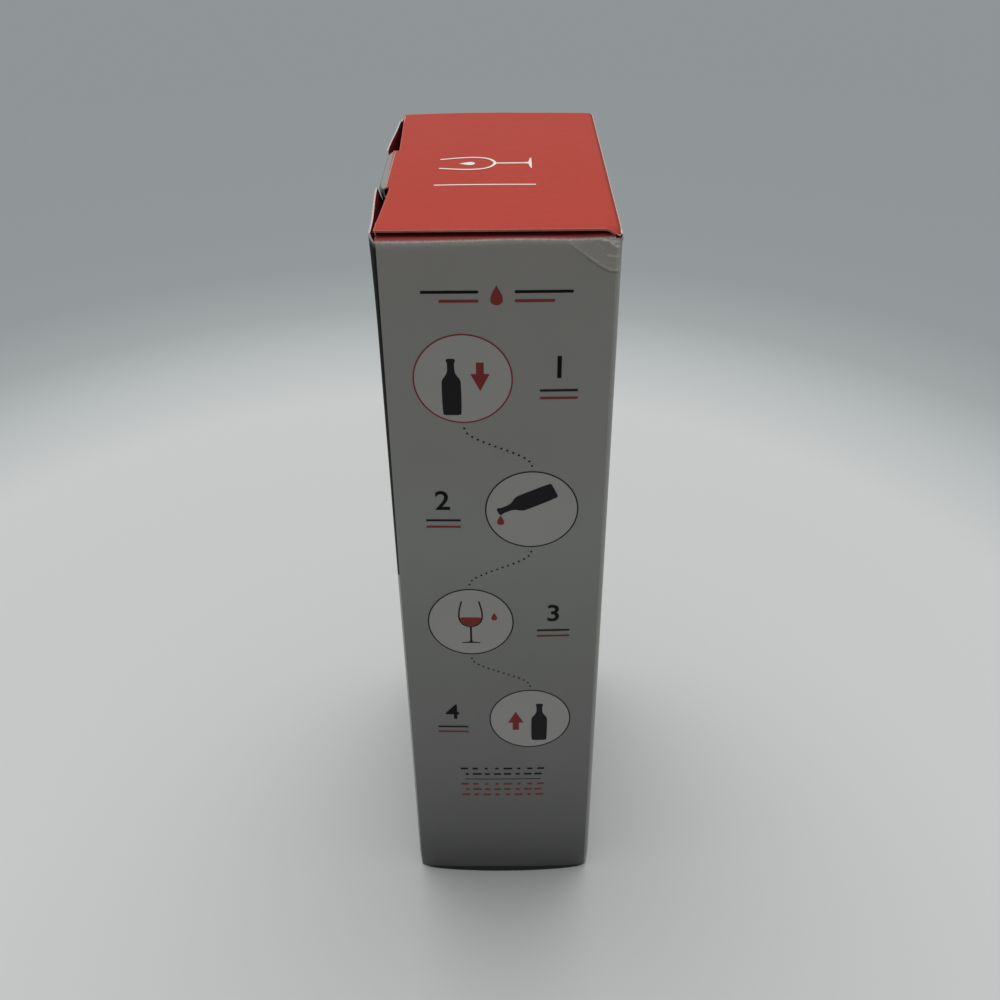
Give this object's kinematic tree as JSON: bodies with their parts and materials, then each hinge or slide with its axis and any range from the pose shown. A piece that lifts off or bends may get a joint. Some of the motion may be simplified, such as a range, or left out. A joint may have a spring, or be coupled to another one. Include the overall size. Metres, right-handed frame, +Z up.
{
  "type": "wine preservation dispenser in carton",
  "caption": "Closed upright paperboard carton with a tuck lid, holding a needle-and-gas wine dispenser on a board insert with spare capsules.",
  "frame": {"origin": "centre of the carton's base, on the surface it stands on", "axes": "+Z up; -Y out of the narrow printed side panel; -X towards the lid's tuck edge, +X towards its hinge"},
  "size_m": [0.08, 0.14, 0.318],
  "materials": {
    "red_board": "laminated print",
    "grey_board": "laminated print",
    "black_board": "laminated print",
    "plain_board": "uncoated board",
    "insert_board": "uncoated solid board",
    "leaflet_paper": "uncoated paper",
    "capsule_steel": "drawn and polished",
    "black_plastic": "fine texture",
    "grey_plastic": "fine texture",
    "soft_rubber": "matt",
    "steel": "ground",
    "brass": "machined",
    "anodised_aluminium": "satin anodised"
  },
  "bodies": {
    "carton": {"front_panel": "black_board", "back_panel": "grey_board", "side_panel_near": "grey_board", "side_panel_far": "grey_board", "glue_flap": "plain_board", "bottom_flap_outer": "plain_board", "bottom_flap_inner": "plain_board", "bottom_dust_flap_near": "plain_board", "bottom_dust_flap_far": "plain_board", "insert_deck": "insert_board", "insert_riser_left": "insert_board", "insert_riser_right": "insert_board", "lower_shelf": "insert_board", "shelf_leg_near": "insert_board", "shelf_leg_far": "insert_board", "capsule_holder": "insert_board", "spare_capsule_1": "capsule_steel", "spare_capsule_2": "capsule_steel", "spare_capsule_3": "capsule_steel", "user_leaflet": "leaflet_paper"},
    "lid": {"lid_panel": "red_board"},
    "tuck": {"tuck_flap": "plain_board"},
    "dust_near": {"dust_flap_near": "red_board"},
    "dust_far": {"dust_flap_far": "red_board"},
    "dispenser": {"head_shell_left": "black_plastic", "head_shell_right": "black_plastic", "shell_screws": "steel", "valve_block": "brass", "stem_seal": "soft_rubber", "valve_spring": "steel", "spout": "black_plastic", "needle_hub": "steel", "needle": "steel", "regulator_body": "brass", "regulator_cap": "brass", "regulator_spring": "steel", "gas_tube": "steel", "piercing_pin": "steel", "capsule_seal": "soft_rubber", "lever_pin": "steel", "lever_spring": "steel", "guide_rail": "anodised_aluminium", "rail_end_stop": "black_plastic"},
    "lever": {"lever": "black_plastic"},
    "valve_stem": {"valve_stem": "steel"},
    "piston": {"regulator_piston": "brass"},
    "capsule": {"gas_capsule": "capsule_steel"},
    "cup": {"capsule_cup": "anodised_aluminium", "grip_sleeve": "soft_rubber", "cup_end_cap": "black_plastic"},
    "clamp": {"clamp_body": "grey_plastic", "needle_guide": "grey_plastic", "jaw_pins": "steel", "jaw_spring_left": "steel", "jaw_spring_right": "steel"},
    "jaw_left": {"jaw_left": "grey_plastic", "jaw_pad_left": "soft_rubber"},
    "jaw_right": {"jaw_right": "grey_plastic", "jaw_pad_right": "soft_rubber"}
  },
  "joints": [
    {"name": "lid_hinge", "type": "hinge", "parent": "carton", "child": "lid", "pos_m": [0.0397, 0, 0.3177], "axis": [0, 1, 0], "range_deg": [0, 180]},
    {"name": "tuck_crease", "type": "hinge", "parent": "lid", "child": "tuck", "pos_m": [-0.0387, 0, 0.3177], "axis": [0, 1, 0], "range_deg": [0, 24]},
    {"name": "dust_near_crease", "type": "hinge", "parent": "carton", "child": "dust_near", "pos_m": [0, -0.0697, 0.3159], "axis": [1, 0, 0], "range_deg": [0, 100]},
    {"name": "dust_far_crease", "type": "hinge", "parent": "carton", "child": "dust_far", "pos_m": [0, 0.0697, 0.3159], "axis": [-1, 0, 0], "range_deg": [0, 100]},
    {"name": "dispenser_lift", "type": "slide", "parent": "carton", "child": "dispenser", "axis": [0, 0, 1], "range_m": [0, 0.012]},
    {"name": "lever_pivot", "type": "hinge", "parent": "dispenser", "child": "lever", "pos_m": [0, 0.022, 0.289], "axis": [1, 0, 0], "range_deg": [0, 7], "stiffness_Nm_per_rad": 0.35, "springref_deg": -8.59, "deforming": ["lever_spring"]},
    {"name": "stem_slide", "type": "slide", "parent": "dispenser", "child": "valve_stem", "axis": [0, 0, -1], "range_m": [0, 0.0033], "deforming": ["valve_spring"]},
    {"name": "piston_slide", "type": "slide", "parent": "dispenser", "child": "piston", "axis": [0, 0, -1], "range_m": [0, 0.0015], "deforming": ["regulator_spring"]},
    {"name": "clamp_slide", "type": "slide", "parent": "dispenser", "child": "clamp", "axis": [0, 0, 1], "range_m": [0, 0.056]},
    {"name": "jaw_left_pivot", "type": "hinge", "parent": "clamp", "child": "jaw_left", "pos_m": [-0.022, -0.02, 0.16], "axis": [0, 1, 0], "range_deg": [0, 12], "stiffness_Nm_per_rad": 0.4, "springref_deg": -11.46, "deforming": ["jaw_spring_left"]},
    {"name": "jaw_right_pivot", "type": "hinge", "parent": "clamp", "child": "jaw_right", "pos_m": [0.022, -0.02, 0.16], "axis": [0, -1, 0], "range_deg": [0, 12], "stiffness_Nm_per_rad": 0.4, "springref_deg": -11.46, "deforming": ["jaw_spring_right"]},
    {"name": "capsule_drop", "type": "slide", "parent": "dispenser", "child": "capsule", "axis": [0, 0, -1], "range_m": [0, 0.00501]},
    {"name": "cup_turn", "type": "hinge", "parent": "capsule", "child": "cup", "pos_m": [0, 0.04, 0.16], "axis": [0, 0, -1], "range_deg": [0, 1440]}
  ],
  "couplings": [
    {"joint": "tuck_crease", "follows": "lid_hinge", "ratio": 0.12},
    {"joint": "dust_near_crease", "follows": "lid_hinge", "ratio": 0.55},
    {"joint": "dust_far_crease", "follows": "lid_hinge", "ratio": 0.55},
    {"joint": "stem_slide", "follows": "lever_pivot", "m_per_rad": 0.026},
    {"joint": "piston_slide", "follows": "lever_pivot", "m_per_rad": 0.012},
    {"joint": "capsule_drop", "follows": "cup_turn", "m_per_rad": 0.00019894}
  ]
}
